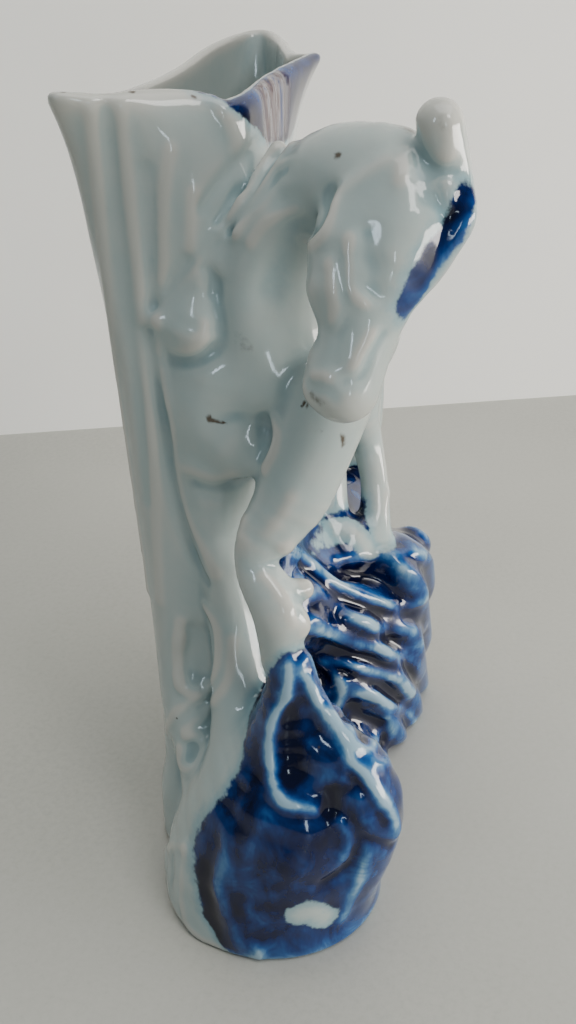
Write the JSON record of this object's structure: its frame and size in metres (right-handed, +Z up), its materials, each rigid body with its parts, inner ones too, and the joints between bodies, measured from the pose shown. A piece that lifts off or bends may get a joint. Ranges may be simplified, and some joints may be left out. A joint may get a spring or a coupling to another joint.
{
  "type": "figural bud vase",
  "caption": "Glazed porcelain bud vase: a horse with arched neck and turned, lowered head stands on blue rock before a flat, flared tree-trunk vase with a wavy rim.",
  "frame": {"origin": "middle of the plan of the whole casting, at the level of the table it stands on", "axes": "+Z up; the horse faces -X; the horse stands on the -Y side of the vase, which is the display side"},
  "size_m": [0.1028, 0.061, 0.1417],
  "materials": {
    "glazed_porcelain": "gloss"
  },
  "bodies": {
    "root": {"horse_bud_vase": "glazed_porcelain"}
  },
  "joints": []
}
